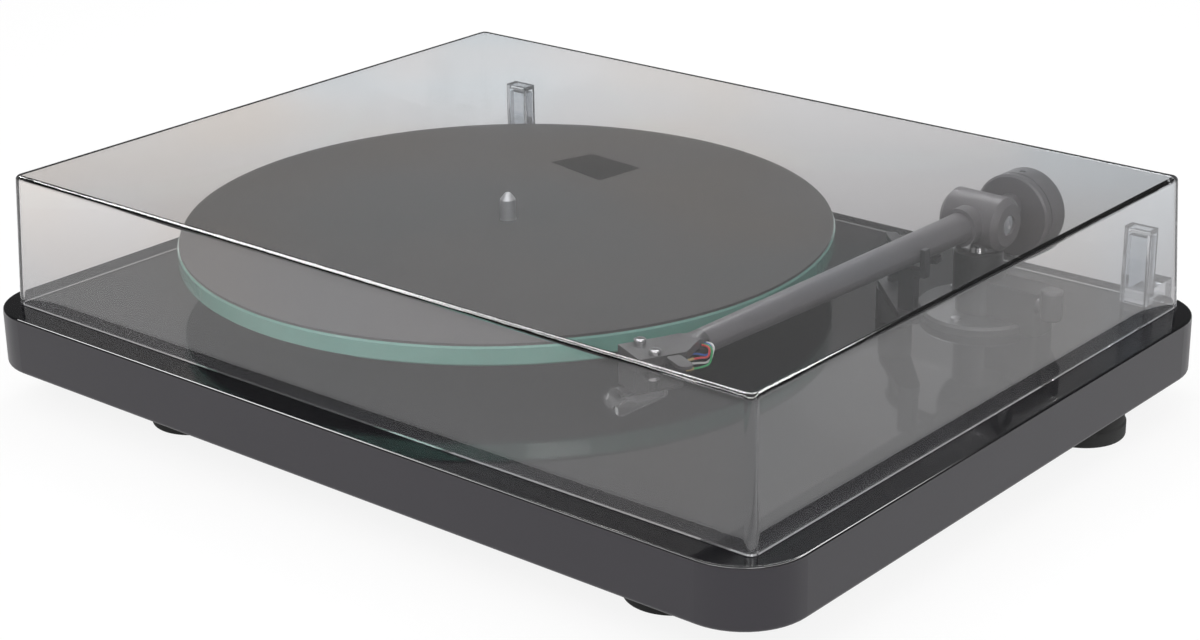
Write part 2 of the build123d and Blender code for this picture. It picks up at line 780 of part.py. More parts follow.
# Dust cover: drafted shell, with a closed pocket in each rear corner for the hinge arms
lid_w = plinth_w - 2 * lid_inset_side
lid_d = plinth_d - lid_inset_front - lid_inset_back
lid_cy = plinth_cy + (lid_inset_front - lid_inset_back) / 2
lid_top = lid_bottom + lid_h
lid_back = plinth_back - lid_inset_back
socket_y = lid_back - lid_wall - lid_draft / 2 - pocket_wall / 2 - hinge_arm_t / 2 - pocket_clear
pocket_w = hinge_arm_w + 2 * pocket_clear + 2 * pocket_wall
pocket_h = hinge_tongue_h + pocket_extra_h + pocket_wall
pocket_front = socket_y - hinge_arm_t / 2 - pocket_clear - pocket_wall
with BuildPart() as dust_cover:
    with BuildSketch(Plane.XY.offset(lid_bottom)):
        with Locations((0, lid_cy)):
            RectangleRounded(lid_w, lid_d, lid_corner_r)
    with BuildSketch(Plane.XY.offset(lid_top)):
        with Locations((0, lid_cy)):
            RectangleRounded(lid_w - 2 * lid_draft, lid_d - 2 * lid_draft, lid_corner_r)
    loft()
    fillet(dust_cover.faces().sort_by(Axis.Z)[-1].edges(), lid_edge_r)
    with BuildSketch(Plane.XY.offset(lid_bottom)):
        with Locations((0, lid_cy)):
            RectangleRounded(lid_w - 2 * lid_wall, lid_d - 2 * lid_wall, lid_corner_r - 2)
    with BuildSketch(Plane.XY.offset(lid_top - lid_wall)):
        with Locations((0, lid_cy)):
            RectangleRounded(
                lid_w - 2 * lid_wall - 2 * lid_draft, lid_d - 2 * lid_wall - 2 * lid_draft, lid_corner_r - 2
            )
    loft(mode=Mode.SUBTRACT)
    # Pocket blocks, blended into the rear wall
    for x in hinge_xs:
        with BuildSketch(Plane.XY.offset(lid_bottom)):
            with Locations((x, (pocket_front + lid_back - lid_draft) / 2 - 0.4)):
                RectangleRounded(pocket_w, lid_back - lid_draft - pocket_front - 0.8, pocket_corner_r)
        extrude(amount=pocket_h)
        with BuildSketch(Plane.XY.offset(lid_bottom)):
            with Locations((x, socket_y)):
                Rectangle(hinge_arm_w + 2 * pocket_clear, hinge_arm_t + 2 * pocket_clear)
        extrude(amount=pocket_h - pocket_wall, mode=Mode.SUBTRACT)
        # Notch through the wall's lower edge for the arm's foot
        with BuildSketch(Plane.XY.offset(lid_bottom)):
            with Locations((x, (socket_y + lid_back + 1) / 2)):
                Rectangle(hinge_arm_w + 2 * pocket_clear, lid_back + 1 - socket_y)
        extrude(amount=hinge_arm_t + 2 * air_gap, mode=Mode.SUBTRACT)
dust_cover.part.label = "dust_cover"
export_step(dust_cover.part, "parts/dust_cover.step")

# Hinge arms: barrel on the pin behind the plinth, leg up past its edge, foot under
# the lid's edge and tongue up into the pocket
arm_foot_z = lid_bottom + air_gap
leg_y = plinth_back + hinge_leg_gap
for side, x in zip(("left", "right"), hinge_xs):
    with BuildPart() as hinge_arm:
        with BuildSketch(Plane(origin=(x - hinge_arm_w / 2, 0, 0), x_dir=(0, 1, 0), z_dir=(1, 0, 0))):
            with Locations((hinge_pin_y, hinge_pin_z)):
                Circle(hinge_barrel_r)
            with BuildLine():
                Polyline(
                    (socket_y - hinge_arm_t / 2, arm_foot_z), (leg_y, arm_foot_z), (leg_y, hinge_pin_z),
                    (hinge_pin_y, hinge_pin_z), (hinge_pin_y, arm_foot_z + hinge_arm_t),
                    (socket_y + hinge_arm_t / 2, arm_foot_z + hinge_arm_t),
                    (socket_y + hinge_arm_t / 2, lid_bottom + hinge_tongue_h),
                    (socket_y - hinge_arm_t / 2, lid_bottom + hinge_tongue_h), close=True,
                )
            make_face()
            with Locations((hinge_pin_y, hinge_pin_z)):
                Circle(hinge_pin_r + run_gap, mode=Mode.SUBTRACT)
        extrude(amount=hinge_arm_w)
    hinge_arm.part.label = f"hinge_arm_{side}"
    export_step(hinge_arm.part, f"parts/hinge_arm_{side}.step")

# Hinge bases: block on the plinth's rear face with two ears round each barrel
ear_inner = hinge_arm_w / 2 + air_gap
with BuildPart() as hinge_bases:
    for x in hinge_xs:
        with BuildSketch(Plane.XY.offset(hinge_base_bottom)):
            with Locations((x, plinth_back + hinge_depth / 2)):
                Rectangle(2 * (ear_inner + hinge_ear_t), hinge_depth)
        extrude(amount=hinge_pin_z - hinge_barrel_r - 2 * air_gap - hinge_base_bottom)
        for start in (x - ear_inner - hinge_ear_t, x + ear_inner):
            with BuildSketch(Plane(origin=(start, 0, 0), x_dir=(0, 1, 0), z_dir=(1, 0, 0))):
                with Locations((hinge_pin_y, hinge_pin_z)):
                    Circle(hinge_ear_r)
                with Locations((hinge_pin_y, (hinge_base_bottom + hinge_pin_z) / 2)):
                    Rectangle(2 * hinge_ear_r, hinge_pin_z - hinge_base_bottom)
            extrude(amount=hinge_ear_t)
    fillet(hinge_bases.faces().sort_by(Axis.Z)[0:2].edges().filter_by(Axis.X).group_by(Axis.Y)[-1], 3.0)
    with BuildSketch(Plane(origin=(0, hinge_pin_y, hinge_pin_z), x_dir=(0, 1, 0), z_dir=(1, 0, 0))):
        Circle(hinge_pin_r + seat_gap)
    extrude(amount=plinth_w / 2, both=True, mode=Mode.SUBTRACT)
    with BuildSketch(Plane.XZ.offset(-(plinth_back + hinge_depth))):
        with Locations(*hinge_screw_places):
            Circle(hinge_screw_r + seat_gap)
    extrude(amount=hinge_depth, mode=Mode.SUBTRACT)
    with BuildSketch(Plane.XZ.offset(-(plinth_back + hinge_depth))):
        with Locations(*hinge_screw_places):
            Circle(hinge_screw_head_r + seat_gap)
    extrude(amount=hinge_screw_head_h + 0.5, mode=Mode.SUBTRACT)
hinge_bases.part.label = "hinge_bases"
export_step(hinge_bases.part, "parts/hinge_bases.step")

with BuildPart() as hinge_pins:
    for x in hinge_xs:
        with BuildSketch(Plane(origin=(x, hinge_pin_y, hinge_pin_z), x_dir=(0, 1, 0), z_dir=(1, 0, 0))):
            Circle(hinge_pin_r)
        extrude(amount=ear_inner + hinge_ear_t - 0.2, both=True)
hinge_pins.part.label = "hinge_pins"
export_step(hinge_pins.part, "parts/hinge_pins.step")

head_y = plinth_back + hinge_depth - 0.5
with BuildPart() as hinge_screws:
    with BuildSketch(Plane.XZ.offset(-head_y)):
        with Locations(*hinge_screw_places):
            Circle(hinge_screw_head_r)
    extrude(amount=hinge_screw_head_h)
    with BuildSketch(Plane.XZ.offset(-(head_y - hinge_screw_head_h))):
        with Locations(*hinge_screw_places):
            Circle(hinge_screw_r)
    extrude(amount=hinge_depth - hinge_screw_head_h - 0.5 + hinge_screw_grip - screw_gap)
hinge_screws.part.label = "hinge_screws"
export_step(hinge_screws.part, "parts/hinge_screws.step")

# Tonearm base: column on a round flange, with a threaded stem through the
# plinth and a side block that carries the cue lever
column_top = arm_z - housing_r - column_top_gap
stem_bottom = foot_h - arm_stem_drop
lever_z = deck_z + lever_rise
block_end = Plane(origin=(pivot_x + block_reach, pivot_y, lever_z), x_dir=(0, 1, 0), z_dir=(1, 0, 0))
with BuildPart() as arm_base:
    with Locations((pivot_x, pivot_y, deck_z)):
        Cylinder(column_r, column_top - deck_z, align=upright)
    with Locations((pivot_x, pivot_y, stem_bottom)):
        Cylinder(arm_hole_r, deck_z - stem_bottom, align=upright)
    with BuildSketch(Plane.XY.offset(deck_z)):
        with Locations((pivot_x, pivot_y)):
            Circle(flange_r)
    extrude(amount=flange_t)
    chamfer(arm_base.edges().filter_by(GeomType.CIRCLE).filter_by_position(
        Axis.Z, deck_z + flange_t - run_gap, deck_z + flange_t + run_gap
    ).sort_by(SortBy.RADIUS)[-1], flange_edge)
    with BuildSketch(Plane.XY.offset(deck_z)):
        with Locations((pivot_x + block_reach / 2, pivot_y)):
            RectangleRounded(block_reach, block_d, block_round)
    extrude(amount=block_h)
    chamfer(arm_base.faces().sort_by(Axis.Z)[-1].edges(), 0.8)
    # Bearing bore, screw holes and lever bore
    with BuildSketch(Plane.XY.offset(stem_bottom)):
        with Locations((pivot_x, pivot_y)):
            Circle(swing_race_r + seat_gap)
    extrude(amount=column_top - stem_bottom, mode=Mode.SUBTRACT)
    with BuildSketch(Plane.XY.offset(deck_z)):
        with Locations(*base_screw_places):
            Circle(base_screw_r + seat_gap)
    extrude(amount=flange_t, mode=Mode.SUBTRACT)
    with BuildSketch(block_end):
        Circle(lever_shaft_r + run_gap)
    extrude(amount=-(lever_shaft_grip + 1), mode=Mode.SUBTRACT)
arm_base.part.label = "arm_base"
export_step(arm_base.part, "parts/arm_base.step")

with BuildPart() as arm_base_nut:
    with BuildSketch(Plane.XY.offset(foot_h - arm_nut_t)):
        with Locations((pivot_x, pivot_y)):
            RegularPolygon(arm_nut_r, 6)
            Circle(arm_hole_r + seat_gap, mode=Mode.SUBTRACT)
    extrude(amount=arm_nut_t)
arm_base_nut.part.label = "arm_base_nut"
export_step(arm_base_nut.part, "parts/arm_base_nut.step")

with BuildPart() as arm_base_screws:
    with Locations(*[(x, y, deck_z + flange_t) for x, y in base_screw_places]):
        Cylinder(base_screw_head_r, base_screw_head_h, align=upright)
    with Locations(*[(x, y, deck_z - base_screw_grip + screw_gap) for x, y in base_screw_places]):
        Cylinder(base_screw_r, flange_t + base_screw_grip - screw_gap, align=upright)
arm_base_screws.part.label = "arm_base_screws"
export_step(arm_base_screws.part, "parts/arm_base_screws.step")

# Swing bearings: two races in the column
race_zs = (column_top - swing_race_t - swing_race_sink, foot_h + swing_race_rise)
with BuildPart() as swing_bearings:
    for z in race_zs:
        with BuildSketch(Plane.XY.offset(z)):
            with Locations((pivot_x, pivot_y)):
                Circle(swing_race_r)
                Circle(swing_shaft_r + run_gap, mode=Mode.SUBTRACT)
        extrude(amount=swing_race_t)
swing_bearings.part.label = "swing_bearings"
export_step(swing_bearings.part, "parts/swing_bearings.step")

# Yoke post: swing shaft, neck and the head that holds the tilt spindle
with BuildPart() as yoke_post:
    with Locations((pivot_x, pivot_y, race_zs[1] + 1)):
        Cylinder(swing_shaft_r, column_top + 0.5 - race_zs[1] - 1, align=upright)
    with Locations((pivot_x, pivot_y, column_top + 0.5)):
        Cylinder(yoke_neck_r, arm_z - column_top - 0.5, align=upright)
    with BuildSketch(Plane(origin=pivot, x_dir=sideways, z_dir=(0, 0, 1)).offset(-yoke_head / 2)):
        Rectangle(yoke_head, yoke_head)
    extrude(amount=yoke_head)
    with BuildSketch(cross_plane):
        Circle(tilt_spindle_r + seat_gap)
    extrude(amount=yoke_head, both=True, mode=Mode.SUBTRACT)
yoke_post.part.label = "yoke_post"
export_step(yoke_post.part, "parts/yoke_post.step")

with BuildPart() as tilt_spindle:
    with BuildSketch(cross_plane):
        Circle(tilt_spindle_r)
    extrude(amount=housing_half - 0.8, both=True)
tilt_spindle.part.label = "tilt_spindle"
export_step(tilt_spindle.part, "parts/tilt_spindle.step")

# Bearing housing: chamfered barrel across the arm, hollow, open below for the post
with BuildPart() as bearing_housing:
    with BuildSketch(cross_plane.offset(-housing_half)):
        Circle(housing_r)
    extrude(amount=2 * housing_half)
    ends = bearing_housing.edges().filter_by(GeomType.CIRCLE)
    chamfer(ends, housing_chamfer)
    with BuildSketch(cross_plane.offset(-housing_half + housing_end_wall)):
        Circle(housing_r - housing_wall)
    extrude(amount=2 * (housing_half - housing_end_wall), mode=Mode.SUBTRACT)
    with BuildSketch(cross_plane.offset(-housing_half)):
        Circle(tilt_race_r + seat_gap)
    extrude(amount=2 * housing_half, mode=Mode.SUBTRACT)
    with BuildSketch(arm_plan.offset(-housing_r - 1)):
        Rectangle(slot_w, slot_l)
    extrude(amount=housing_r + 1, mode=Mode.SUBTRACT)
    with BuildSketch(arm_plane.offset(-housing_r - 1)):
        Circle(tube_bore_r + 1.2 + seat_gap)
    extrude(amount=2 * housing_r + 2, mode=Mode.SUBTRACT)
bearing_housing.part.label = "bearing_housing"
export_step(bearing_housing.part, "parts/bearing_housing.step")

with BuildPart() as tilt_bearings:
    for start in (-housing_half + 0.6, housing_half - 0.6 - tilt_race_t):
        with BuildSketch(cross_plane.offset(start)):
            Circle(tilt_race_r)
            Circle(tilt_spindle_r + run_gap, mode=Mode.SUBTRACT)
        extrude(amount=tilt_race_t)
tilt_bearings.part.label = "tilt_bearings"
export_step(tilt_bearings.part, "parts/tilt_bearings.step")

# Arm tube: hollow, tapered, with a spigot in the housing wall
spigot_r = tube_bore_r + 1.2
collar_end = housing_r + collar_t
with BuildPart() as arm_tube:
    with BuildSketch(arm_plane.offset(housing_r - housing_wall + 0.5)):
        Circle(spigot_r)
    extrude(amount=collar_t + housing_wall)
    with BuildSketch(arm_plane.offset(collar_end)):
        Circle(tube_radius(collar_end))
    with BuildSketch(arm_plane.offset(tube_tip_reach)):
        Circle(tube_tip_r)
    loft()
    with BuildSketch(arm_plane.offset(housing_r - housing_wall)):
        Circle(tube_bore_r)
    extrude(amount=tube_tip_reach, mode=Mode.SUBTRACT)
arm_tube.part.label = "arm_tube"
export_step(arm_tube.part, "parts/arm_tube.step")

with BuildPart() as tube_collar:
    with BuildSketch(arm_plane.offset(housing_r - 2)):
        Circle(collar_r)
        Circle(spigot_r + seat_gap, mode=Mode.SUBTRACT)
    extrude(amount=collar_t + 2)
    chamfer(tube_collar.edges().filter_by(GeomType.CIRCLE).sort_by(Axis.Y)[0:1], 0.8)
    with BuildSketch(cross_plane.offset(-housing_half)):
        Circle(housing_r + seat_gap)
    extrude(amount=2 * housing_half, mode=Mode.SUBTRACT)
tube_collar.part.label = "tube_collar"
export_step(tube_collar.part, "parts/tube_collar.step")

# Headshell: angled plate blended to the tube's end, with a finger lift
shell_neck_end = tube_tip_reach + shell_neck_l
nose_corners = [
    bolt_mid + cart_forward * shell_nose + cart_side * shell_half_w * s for s in (1, -1)
]
tail_corners = [
    bolt_mid - cart_forward * shell_tail + cart_side * shell_half_w * s for s in (-1, 1)
]
neck_corners = [pivot + forward * shell_neck_end + sideways * tube_tip_r * s for s in (-1, 1)]
shell_corners = nose_corners + tail_corners[:1] + neck_corners + tail_corners[1:]
shell_outline = [arm_plan.to_local_coords(p) for p in shell_corners]
bolt_places = [
    arm_plan.to_local_coords(bolt_mid + cart_side * bolt_spacing / 2 * s) for s in (-1, 1)
]
with BuildPart() as headshell:
    with BuildSketch(arm_plan.offset(shell_under)):
        with BuildLine():
            Polyline(*[(p.X, p.Y) for p in shell_outline], close=True)
        make_face()
    extrude(amount=shell_t)
    with BuildSketch(arm_plane.offset(tube_tip_reach)):
        Circle(tube_tip_r)
    with BuildSketch(arm_plane.offset(shell_neck_end)):
        with Locations((0, (shell_top + shell_under) / 2)):
            Rectangle(2 * tube_tip_r, shell_t)
    loft()
    # Bore from the tube, and the slot in the right side where the leads come out
    with BuildSketch(arm_plane.offset(tube_tip_reach)):
        Circle(neck_bore_r)
    extrude(amount=lead_slot_gap + lead_slot_l, mode=Mode.SUBTRACT)
    with BuildSketch(arm_plan.offset(lead_exit - lead_slot_h / 2)):
        with Locations((tube_tip_r, -tube_tip_reach - lead_slot_gap - lead_slot_l / 2)):
            Rectangle(2 * tube_tip_r, lead_slot_l)
    extrude(amount=lead_slot_h, mode=Mode.SUBTRACT)
    with BuildSketch(cart_plan.offset(shell_top - finger_t - 0.4)):
        with Locations((shell_half_w + finger_l / 2 - 1, finger_back)):
            SlotOverall(finger_l, finger_w)
    extrude(amount=finger_t)
    with BuildSketch(arm_plan.offset(shell_under)):
        with Locations(*[(p.X, p.Y) for p in bolt_places]):
            Circle(bolt_r + seat_gap)
    extrude(amount=shell_t, mode=Mode.SUBTRACT)
headshell.part.label = "headshell"
export_step(headshell.part, "parts/headshell.step")

# Cartridge body with mounting ears
cart_bottom = shell_under - cart_h
with BuildPart() as cartridge_body:
    with BuildSketch(cart_plan.offset(shell_under - cart_ear_t)):
        RectangleRounded(cart_ear_w, cart_ear_l, 1.5)
    extrude(amount=cart_ear_t)
    with BuildSketch(cart_plan.offset(cart_bottom)):
        with Locations((0, (cart_tail - cart_nose) / 2)):
            Rectangle(cart_w, cart_tail + cart_nose)
    extrude(amount=cart_h)
    chamfer(cartridge_body.faces().sort_by(Axis.Z)[0].edges(), 0.8)
    with BuildSketch(cart_plan.offset(cart_bottom)):
        with Locations((-bolt_spacing / 2, 0), (bolt_spacing / 2, 0)):
            Circle(bolt_nut_r + seat_gap)
    extrude(amount=cart_h - cart_ear_t, mode=Mode.SUBTRACT)
    with BuildSketch(cart_plan.offset(cart_bottom)):
        with Locations((-bolt_spacing / 2, 0), (bolt_spacing / 2, 0)):
            Circle(bolt_r + seat_gap)
    extrude(amount=cart_h, mode=Mode.SUBTRACT)
cartridge_body.part.label = "cartridge_body"
export_step(cartridge_body.part, "parts/cartridge_body.step")

with BuildPart() as cartridge_bolts:
    with BuildSketch(cart_plan.offset(shell_top)):
        with Locations((-bolt_spacing / 2, 0), (bolt_spacing / 2, 0)):
            Circle(bolt_head_r)
    extrude(amount=bolt_head_h)
    fillet(cartridge_bolts.edges().filter_by(GeomType.CIRCLE).group_by(Axis(bolt_mid, upward))[-1], 0.7)
    with BuildSketch(cart_plan.offset(shell_under - cart_ear_t - bolt_nut_t - 0.5)):
        with Locations((-bolt_spacing / 2, 0), (bolt_spacing / 2, 0)):
            Circle(bolt_r)
    extrude(amount=shell_t + cart_ear_t + bolt_nut_t + 0.5)
    with BuildSketch(cart_plan.offset(shell_top + bolt_head_h)):
        with Locations((-bolt_spacing / 2, 0), (bolt_spacing / 2, 0)):
            Rectangle(2.4 * bolt_head_r, 0.6, rotation=30)
    extrude(amount=-0.8, mode=Mode.SUBTRACT)
cartridge_bolts.part.label = "cartridge_bolts"
export_step(cartridge_bolts.part, "parts/cartridge_bolts.step")

with BuildPart() as cartridge_nuts:
    with BuildSketch(cart_plan.offset(shell_under - cart_ear_t - bolt_nut_t)):
        with Locations((-bolt_spacing / 2, 0), (bolt_spacing / 2, 0)):
            RegularPolygon(bolt_nut_r, 6)
            Circle(bolt_r + seat_gap, mode=Mode.SUBTRACT)
    extrude(amount=bolt_nut_t)
cartridge_nuts.part.label = "cartridge_nuts"
export_step(cartridge_nuts.part, "parts/cartridge_nuts.step")

# Stylus unit: wedge under the cartridge, cantilever and tip
stylus_top = cart_bottom
tip_z = shell_under - stylus_drop
with BuildPart() as stylus_unit:
    with BuildSketch(cart_profile.offset(-stylus_w / 2)):
        with BuildLine():
            Polyline(
                (stylus_tail, stylus_top), (-stylus_nose, stylus_top),
                (-stylus_nose, stylus_top - stylus_nose_h), (-stylus_nose + 5, stylus_top - stylus_h),
                (stylus_tail, stylus_top - stylus_h + 1.2), close=True,
            )
        make_face()
    extrude(amount=stylus_w)
    start = bolt_mid + cart_forward * (stylus_nose - 4) + upward * (stylus_top - stylus_h + 1.4)
    end = bolt_mid + cart_forward * stylus_ahead + upward * (tip_z + 0.9)
    with BuildSketch(Plane(origin=start, z_dir=end - start)):
        Circle(cantilever_r)
    extrude(amount=(end - start).length + 0.3)
    with BuildSketch(cart_plan.offset(tip_z + 1.0)):
        with Locations((0, -stylus_ahead)):
            Circle(0.3)
    extrude(amount=-1.0, taper=12)
stylus_unit.part.label = "stylus_unit"
export_step(stylus_unit.part, "parts/stylus_unit.step")

# Stylus guard: clear wrap-round shell that slides off forwards
guard_low = shell_under - guard_drop
guard_high = cart_bottom - air_gap
guard_tail_low = shell_under - guard_tail_drop
guard_outline = [
    (guard_tail, guard_high), (-guard_nose + 3, guard_high), (-guard_nose, guard_high - 3),
    (-guard_nose, guard_low + 1.5), (-guard_nose + 1.5, guard_low), (-guard_nose + 4, guard_low),
    (guard_tail, guard_tail_low),
]
with BuildPart() as stylus_guard:
    with BuildSketch(cart_profile.offset(-guard_w / 2)):
        with BuildLine():
            Polyline(*guard_outline, close=True)
        make_face()
    extrude(amount=guard_w)
    # Open all through behind the nose, so that it slides off past the stylus
    with BuildSketch(cart_plan.offset(guard_low)):
        with Locations((0, (guard_tail - guard_nose + guard_nose_t) / 2)):
            Rectangle(guard_w - 2 * guard_wall, guard_tail + guard_nose - guard_nose_t)
    extrude(amount=guard_high - guard_low, mode=Mode.SUBTRACT)
stylus_guard.part.label = "stylus_guard"
export_step(stylus_guard.part, "parts/stylus_guard.step")

# Cartridge pins at the back, four in two rows
pin_zs = (cart_bottom + 3.0, cart_bottom + 3.0 + pin_spacing * 0.8)
pin_xs = (-pin_spacing / 2, pin_spacing / 2)
tail_section = cart_section.offset(-cart_tail)
with BuildPart() as cartridge_pins:
    with BuildSketch(tail_section):
        with Locations(*[(x, z) for x in pin_xs for z in pin_zs]):
            Circle(pin_r)
    extrude(amount=-pin_l)
cartridge_pins.part.label = "cartridge_pins"
export_step(cartridge_pins.part, "parts/cartridge_pins.step")

with BuildPart() as lead_clips:
    with BuildSketch(tail_section.offset(-1.2)):
        with Locations(*[(x, z) for x in pin_xs for z in pin_zs]):
            Circle(clip_r)
            Circle(pin_r + seat_gap, mode=Mode.SUBTRACT)
    extrude(amount=-clip_l)
lead_clips.part.label = "lead_clips"
export_step(lead_clips.part, "parts/lead_clips.step")


def under_tube(reach):
    """Height just under the arm tube at a distance from the pivot, arm at rest."""
    return arm_z + reach * sin(radians(rest_tilt)) - tube_radius(reach) - air_gap


def tip_point(side, ahead, rise):
    """Point beside, ahead of and above the end of the arm tube's axis."""
    return pivot + sideways * side + forward * (tube_tip_reach + ahead) + upward * rise


def cart_point(side, ahead, rise):
    """Point beside, ahead of and above the cartridge's bolts."""
    return bolt_mid + cart_side * side + cart_forward * ahead + upward * rise


# Four leads, each from its clip in an arch out to the right and back into the
# neck of the headshell. The two places between are beside, ahead of and above the
# end of the arm tube.
clip_end = cart_tail + 1.2 + clip_l
lead_routes = {
    "white": (pin_xs[0], pin_zs[0], [(7.6, 3.4, -5.6), (8.6, 1.9)]),
    "blue": (pin_xs[0], pin_zs[1], [(7.2, 4.0, -2.8), (8.0, 3.0)]),
    "green": (pin_xs[1], pin_zs[0], [(9.2, 5.6, -5.2), (9.4, 4.1)]),
    "red": (pin_xs[1], pin_zs[1], [(9.0, 6.4, -2.2), (9.0, 5.2)]),
}
for colour, (pin_x, pin_z, (low, high)) in lead_routes.items():
    points = [
        cart_point(pin_x, -clip_end, pin_z),
        cart_point(pin_x, -clip_end - lead_pull, pin_z),
        tip_point(*low),
        tip_point(high[0], high[1], lead_exit),
        tip_point(lead_start, high[1], lead_exit),
    ]
    bends = []
    for before, corner, after in zip(points, points[1:], points[2:]):
        shorter = min((corner - before).length, (after - corner).length)
        half_turn = radians((corner - before).get_angle(after - corner) / 2)
        bends.append(0.45 * shorter * cos(half_turn) / sin(half_turn))
    print(colour, "lead bends", [round(r, 2) for r in bends])
    with BuildPart() as lead:
        with BuildLine() as route:
            FilletPolyline(*points, radius=bends)
        with BuildSketch(Plane(origin=route.line @ 0, z_dir=route.line % 0)):
            Circle(lead_r)
        sweep(path=route.line)
    lead.part.label = f"lead_{colour}"
    export_step(lead.part, f"parts/lead_{colour}.step")

# Rear stub that carries the counterweight
with BuildPart() as rear_stub:
    with BuildSketch(arm_plane.offset(-stub_reach)):
        Circle(stub_r)
    extrude(amount=stub_reach - housing_r + 2)
    chamfer(rear_stub.edges().filter_by(GeomType.CIRCLE).sort_by(Axis.Y)[-1], 0.8)
    with BuildSketch(cross_plane.offset(-housing_half)):
        Circle(housing_r + seat_gap)
    extrude(amount=2 * housing_half, mode=Mode.SUBTRACT)
    with BuildSketch(arm_plane.offset(-stub_reach / 2)):
        Circle(spigot_r)
    extrude(amount=stub_reach / 2 - housing_r + housing_wall - 0.5)
rear_stub.part.label = "rear_stub"
export_step(rear_stub.part, "parts/rear_stub.step")

# Counterweight: eccentric bore, a seam near its front and a screw from above
weight_screw_reach = weight_front + weight_l / 2
screw_low = stub_r + run_gap + 0.1
with BuildPart() as counterweight:
    with BuildSketch(arm_plane.offset(-weight_front - weight_l)):
        with Locations((0, -weight_drop)):
            Circle(weight_r)
    extrude(amount=weight_l)
    chamfer(counterweight.edges().filter_by(GeomType.CIRCLE), weight_chamfer)
    with BuildSketch(arm_plane.offset(-weight_front - weight_seam)):
        with Locations((0, -weight_drop)):
            Circle(weight_r)
            Circle(weight_r - weight_seam_t, mode=Mode.SUBTRACT)
    extrude(amount=-weight_seam_t, mode=Mode.SUBTRACT)
    with BuildSketch(arm_plane.offset(-weight_front - weight_l)):
        Circle(stub_r + run_gap)
    extrude(amount=weight_l, mode=Mode.SUBTRACT)
    with BuildSketch(arm_plan):
        with Locations((0, weight_screw_reach)):
            Circle(weight_screw_r + seat_gap)
    extrude(amount=weight_r, mode=Mode.SUBTRACT)
counterweight.part.label = "counterweight"
export_step(counterweight.part, "parts/counterweight.step")

with BuildPart() as counterweight_screw:
    with BuildSketch(arm_plan.offset(screw_low)):
        with Locations((0, weight_screw_reach)):
            Circle(weight_screw_r)
    extrude(amount=weight_r - weight_drop - screw_low - 0.4)
counterweight_screw.part.label = "counterweight_screw"
export_step(counterweight_screw.part, "parts/counterweight_screw.step")

# Cue lift: post on the deck, curved platform on a rod under the arm
lift_turn = -90 - rest_angle - lift_angle
lift_x = pivot_x + lift_circle_r * cos(radians(lift_turn))
lift_y = pivot_y + lift_circle_r * sin(radians(lift_turn))
lift_post_top = deck_z + lift_post_h
with BuildPart() as lift_post:
    with Locations((lift_x, lift_y, deck_z)):
        Cylinder(lift_post_r, lift_post_h, align=upright)
    chamfer(lift_post.faces().sort_by(Axis.Z)[-1].edges(), 0.6)
    with BuildSketch(Plane.XY.offset(lift_post_top)):
        with Locations((lift_x, lift_y)):
            Circle(lift_rod_r + run_gap)
    extrude(amount=-lift_bore_depth, mode=Mode.SUBTRACT)
lift_post.part.label = "lift_post"
export_step(lift_post.part, "parts/lift_post.step")

bar_top = under_tube(lift_circle_r - lift_bar_w / 2)
bar_from = -90 - rest_angle - lift_bar_after
bar_span = lift_bar_before + lift_bar_after
with BuildPart() as lift_platform:
    with BuildSketch(Plane.XY.offset(bar_top - lift_bar_t)):
        with BuildLine():
            for r in (lift_circle_r - lift_bar_w / 2, lift_circle_r + lift_bar_w / 2):
                CenterArc((pivot_x, pivot_y), r, bar_from, bar_span)
            for a in (bar_from, bar_from + bar_span):
                inner = Vector(cos(radians(a)), sin(radians(a))) * (lift_circle_r - lift_bar_w / 2)
                outer = Vector(cos(radians(a)), sin(radians(a))) * (lift_circle_r + lift_bar_w / 2)
                Line(inner + Vector(pivot_x, pivot_y), outer + Vector(pivot_x, pivot_y))
        make_face()
    extrude(amount=lift_bar_t)
    with BuildSketch(Plane.XY.offset(lift_post_top - lift_rod_grip)):
        with Locations((lift_x, lift_y)):
            Circle(lift_rod_r)
    extrude(amount=bar_top - lift_bar_t - lift_post_top + lift_rod_grip)
lift_platform.part.label = "lift_platform"
export_step(lift_platform.part, "parts/lift_platform.step")

# Arm rest: plate on the lift post, upright under the tube and a prong outside it
rest_tube_r = tube_radius(rest_reach - rest_post_t / 2)
rest_end = pivot + level * rest_reach
rest_top = under_tube(rest_reach) - rest_reach * sin(radians(play_drop))
rest_plan = Plane(origin=(pivot_x, pivot_y, 0), x_dir=sideways, z_dir=(0, 0, 1))
with BuildPart() as arm_rest:
    with BuildSketch(Plane.XY.offset(lift_post_top)):
        with Locations((lift_x, lift_y)):
            Circle(lift_post_r - 0.6)
        with Locations((rest_end.X, rest_end.Y)):
            Circle(rest_end_r)
        make_hull()
    extrude(amount=rest_plate_t)
    with BuildSketch(rest_plan.offset(lift_post_top)):
        with Locations((0, -rest_reach)):
            Rectangle(rest_post_w, rest_post_t)
    extrude(amount=rest_top - lift_post_top)
    prong_side = rest_tube_r + air_gap
    with BuildSketch(rest_plan.offset(rest_top - rest_plate_t)):
        with Locations(((prong_side + rest_prong_t) / 2, -rest_reach)):
            Rectangle(prong_side + rest_prong_t, rest_post_t)
    extrude(amount=rest_plate_t)
    with BuildSketch(rest_plan.offset(rest_top)):
        with Locations((prong_side + rest_prong_t / 2, -rest_reach)):
            Rectangle(rest_prong_t, rest_post_t)
    extrude(amount=arm_z + rest_prong_rise - rest_top)
    with BuildSketch(Plane.XY.offset(lift_post_top)):
        with Locations((lift_x, lift_y)):
            Circle(lift_rod_r + air_gap)
    extrude(amount=rest_plate_t, mode=Mode.SUBTRACT)
arm_rest.part.label = "arm_rest"
export_step(arm_rest.part, "parts/arm_rest.step")

